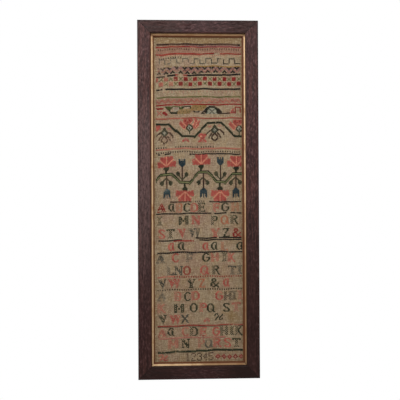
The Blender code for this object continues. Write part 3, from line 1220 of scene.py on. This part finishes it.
def mesh_piece(name, points, faces, uvs):
    """A mesh object of quads from arrays; uvs are one pair for each face corner."""
    mesh = bpy.data.meshes.new(name)
    mesh.vertices.add(len(points))
    mesh.vertices.foreach_set("co", np.ascontiguousarray(points, dtype=np.float32).ravel())
    mesh.loops.add(faces.size)
    mesh.loops.foreach_set("vertex_index", faces.ravel().astype(np.int32))
    mesh.polygons.add(len(faces))
    mesh.polygons.foreach_set("loop_start", np.arange(0, faces.size, 4, dtype=np.int32))
    for layer_name, pairs in uvs.items():
        layer = mesh.uv_layers.new(name=layer_name)
        layer.data.foreach_set("uv", np.ascontiguousarray(pairs, dtype=np.float32).ravel())
    mesh.update(calc_edges=True)
    mesh.validate()
    mesh.shade_smooth()
    piece = bpy.data.objects.new(name, mesh)
    bpy.context.scene.collection.objects.link(piece)
    return piece


def set_attribute(mesh, name, values):
    attribute = mesh.attributes.new(name, "FLOAT", "POINT")
    attribute.data.foreach_set("value", np.ascontiguousarray(values, dtype=np.float32))


def worn_at(x, down):
    """(faded, lost) shares at a place."""
    faded, lost = 0.0, 0.0
    for worn in WORN_PLACES:
        across = (x - worn.x) / worn.reach_across
        along = (down - worn.down) / worn.reach_down
        share = float(smooth_step(WORN_EDGE - across * across - along * along))
        faded = max(faded, worn.faded * share)
        lost = max(lost, worn.lost * share)
    return faded, lost


Strand = namedtuple("Strand", "start end lift reach ink wear shade")


def strands_of(chart, lost_share, random):
    """The chart's crosses as strands, without those that wear has taken."""
    strands = []
    patches = (CHART_COLUMNS // PATCH_COLUMNS + 2, CHART_ROWS // PATCH_ROWS + 2)
    patch_tones = random.normal(0.0, 1.0, patches)
    for (column, row), (ink, faded, reach) in sorted(chart.items()):
        draws = random.random(6)
        if not 0 <= column <= CHART_COLUMNS - 1:
            continue
        x, down = on_linen(column + 0.5, row + 0.5)
        place_faded, place_lost = worn_at(float(x), float(down))
        lost = draws[0] < lost_share + place_lost
        half_lost = lost and draws[1] < HALF_OF_IT_LEFT
        if lost and not half_lost:
            continue
        tone = patch_tones[int(column) // PATCH_COLUMNS, int(row) // PATCH_ROWS]
        wear = faded + place_faded + WEAR_BY_PATCH * tone + WEAR_BY_CHANCE * (draws[2] - 0.5)
        shade = 0.5 + SHADE_BY_PATCH * tone + SHADE_BY_CHANCE * (draws[3] - 0.5)
        look = (reach, ink, min(1.0, max(0.0, wear)), min(1.0, max(0.0, shade)))
        strands.append(Strand((column, row + 1), (column + 1, row), UNDER_LIFT, *look))
        if not half_lost:
            strands.append(Strand((column, row), (column + 1, row + 1), OVER_LIFT, *look))
    return strands


def strand_faces(count):
    """Quads of all strands: their sides, then their two ends."""
    rings, sides = len(STRAND_RINGS), STRAND_SIDES
    corner = np.arange(rings * sides).reshape(rings, sides)
    beside = np.roll(corner, -1, axis=1)
    body = np.stack([corner[:-1], corner[1:], beside[1:], beside[:-1]], axis=-1).reshape(-1, 4)
    ends = np.array([corner[0], corner[-1][::-1]])
    faces = np.concatenate([body, ends])
    return (faces[None] + np.arange(count)[:, None, None] * rings * sides).reshape(-1, 4)


def strand_uvs(lengths):
    """UV pairs for strand_faces: turns of twist along a strand and round it."""
    rings, sides = len(STRAND_RINGS), STRAND_SIDES
    along = np.array([ring.place for ring in STRAND_RINGS])
    pairs = []
    for ring in range(rings - 1):
        for side in range(sides):
            round_here, round_next = PLIES * side / sides, PLIES * (side + 1) / sides
            pairs += [(along[ring], round_here), (along[ring + 1], round_here)]
            pairs += [(along[ring + 1], round_next), (along[ring], round_next)]
    pairs += [(along[0], 0.0)] * sides + [(along[-1], 0.0)] * sides
    pairs = np.tile(np.array(pairs)[None], (len(lengths), 1, 1))
    pairs[:, :, 0] *= (lengths / TWIST_LENGTH)[:, None]
    return pairs.reshape(-1, 2)


def hole_places(corners, hole_shifts):
    """(x, down) of the holes that the needle uses at these corners of squares."""
    columns, rows = np.array(corners, float).T
    shifts = hole_shifts[columns.astype(int), rows.astype(int)]
    return np.stack(on_linen(columns, rows), axis=-1) + shifts


def make_band(band, chart, hole_shifts, random, materials):
    """One band of the embroidery as a joined mesh, a material for each thread in it."""
    strands = strands_of(chart, band.lost, random)
    starts = hole_places([s.start for s in strands], hole_shifts)
    ends = hole_places([s.end for s in strands], hole_shifts)
    lifts = np.array([s.lift for s in strands])
    reaches = np.array([s.reach for s in strands])
    centres = (starts + ends) / 2
    runs = (ends - starts) * reaches[:, None]
    lengths = np.linalg.norm(runs, axis=1)
    sideways = np.stack([-runs[:, 1], runs[:, 0]], axis=-1) / lengths[:, None]
    widths = STRAND_WIDTH * (1.0 + REACH_WIDENS * (reaches - 1.0))
    widths = widths * (1.0 + WIDTH_VARIES * random.normal(0.0, 1.0, len(strands)))
    lifts = lifts * (1.0 + LIFT_VARIES * random.normal(0.0, 1.0, len(strands)))

    places, ring_lifts, ring_widths = np.array(STRAND_RINGS).T
    middle = centres[:, None] + runs[:, None] * (places[None, :, None] - 0.5)
    lift = lifts[:, None] * ring_lifts - HOLE_DEPTH * (ring_lifts == 0.0)
    half = widths[:, None] / 2 * ring_widths
    offset = sideways[:, None] * half[..., None]
    left, right = middle + offset, middle - offset
    middle_y = LINEN_FRONT_Y - linen_rise(middle[..., 0], middle[..., 1]) - lift
    points = np.empty((len(strands), len(places), STRAND_SIDES, 3))
    # Each ring is a lozenge: its left, its top, its right and its underside
    for side, (flat, up) in enumerate(((left, 0.0), (middle, 0.5), (right, 0.0), (middle, -0.5))):
        points[..., side, 0] = flat[..., 0]
        points[..., side, 1] = middle_y - up * STRAND_THICKNESS
        points[..., side, 2] = SIGHT_TOP - flat[..., 1]

    name = "embroidery_" + band.name
    uvs = {"twist": strand_uvs(lengths)}
    piece = mesh_piece(name, points.reshape(-1, 3), strand_faces(len(strands)), uvs)
    corners = len(STRAND_RINGS) * STRAND_SIDES
    set_attribute(piece.data, "wear", np.repeat([s.wear for s in strands], corners))
    set_attribute(piece.data, "shade", np.repeat([s.shade for s in strands], corners))
    inks = sorted({s.ink for s in strands})
    for ink in inks:
        piece.data.materials.append(materials[ink])
    faces_each = (len(STRAND_RINGS) - 1) * STRAND_SIDES + 2
    slots = np.repeat([inks.index(s.ink) for s in strands], faces_each)
    piece.data.polygons.foreach_set("material_index", slots.astype(np.int32))
    return piece


def dress_frame():
    """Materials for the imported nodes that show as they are."""
    oak = {"x": make_oak("stained_oak_level", "x"), "z": make_oak("stained_oak_upright", "z")}
    gilt = make_gilt()
    looks = {"backing_board": make_board_material()}
    for side, along in (("top", "x"), ("bottom", "x"), ("left", "z"), ("right", "z")):
        looks["rail_" + side] = oak[along]
        looks["slip_" + side] = gilt
    for node, material in looks.items():
        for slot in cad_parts[node].material_slots:
            slot.material = material


def make_camera():
    data = bpy.data.cameras.new("camera")
    data.sensor_fit = "HORIZONTAL"
    data.sensor_width = SENSOR_MM
    data.lens = CAMERA_LENS_MM
    camera = bpy.data.objects.new("camera", data)
    camera.matrix_world = (
        Matrix.Translation(CAMERA_PLACE)
        @ Matrix.Rotation(radians(CAMERA_YAW_DEG), 4, "Z")
        @ Matrix.Rotation(radians(90 + CAMERA_PITCH_DEG), 4, "X")
        @ Matrix.Rotation(radians(CAMERA_ROLL_DEG), 4, "Z")
    )
    bpy.context.scene.collection.objects.link(camera)
    bpy.context.scene.camera = camera


Light = namedtuple("Light", "name place size watts")
LIGHTS = (
    Light("front", (-0.17, -1.15, -0.04), 0.4, 3.3),
    Light("top", (-0.05, -1.00, 0.56), 0.6, 8.5),
    Light("left", (-1.30, -1.10, 0.40), 0.9, 10.0),
    Light("right", (1.40, -1.00, 0.30), 0.9, 7.0),
    Light("back", (0.40, 1.60, 0.30), 1.0, 9.0),
)


def make_lights():
    """Square soft lights, all aimed at the middle of the frame."""
    target = Vector((0.0, 0.0, FRAME_CENTRE_Z))
    for light in LIGHTS:
        data = bpy.data.lights.new(light.name, "AREA")
        data.shape = "SQUARE"
        data.size = light.size
        data.energy = light.watts
        lamp = bpy.data.objects.new(light.name, data)
        lamp.location = light.place
        lamp.rotation_euler = (target - lamp.location).to_track_quat("-Z", "Y").to_euler()
        bpy.context.scene.collection.objects.link(lamp)


def make_world():
    """White where the camera sees it, dimmer as a light."""
    world = bpy.data.worlds.new("studio")
    world.use_nodes = True
    tree = world.node_tree
    background = tree.nodes["Background"]
    background.inputs["Color"].default_value = (1.0, 1.0, 1.0, 1.0)
    path = tree.nodes.new("ShaderNodeLightPath")
    strength = tree.nodes.new("ShaderNodeMapRange")
    strength.inputs["To Min"].default_value = WORLD_LIGHT
    strength.inputs["To Max"].default_value = 1.0
    tree.links.new(path.outputs["Is Camera Ray"], strength.inputs["Value"])
    tree.links.new(strength.outputs["Result"], background.inputs["Strength"])
    bpy.context.scene.world = world
    bpy.context.scene.view_settings.view_transform = "Standard"


def make_floor():
    level = CAD_BOX[0].z - FLOOR_DROP
    bpy.ops.mesh.primitive_plane_add(size=FLOOR_SIZE, location=(0.0, 0.0, level))
    floor = bpy.context.object
    floor.name = "floor"
    floor.data.materials.append(make_floor_material())


def main():
    make_camera()
    make_world()
    make_lights()
    make_floor()
    dress_frame()

    shape = (CHART_COLUMNS + 1, CHART_ROWS + 1, 2)
    hole_shifts = np.random.default_rng(SEED).normal(0.0, HOLE_JITTER, shape)
    materials = {ink: make_thread_material(thread) for ink, thread in THREADS.items()}
    pieces, dyed = [], []
    for number, band in enumerate(BANDS):
        chart = Chart()
        band.chart_work(chart)
        random = np.random.default_rng([SEED, number])
        pieces.append(make_band(band, chart, hole_shifts, random, materials))
        reds = [square for square, stitch in chart.items() if stitch.ink in DYE_INKS]
        dyed += [square for square in reds if 0 <= square[0] < CHART_COLUMNS]

    linen = make_linen(make_linen_material(), hole_places(dyed, hole_shifts))
    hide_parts("linen_sampler")
    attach(linen, BODY)
    for piece in pieces:
        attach(piece, BODY)


main()
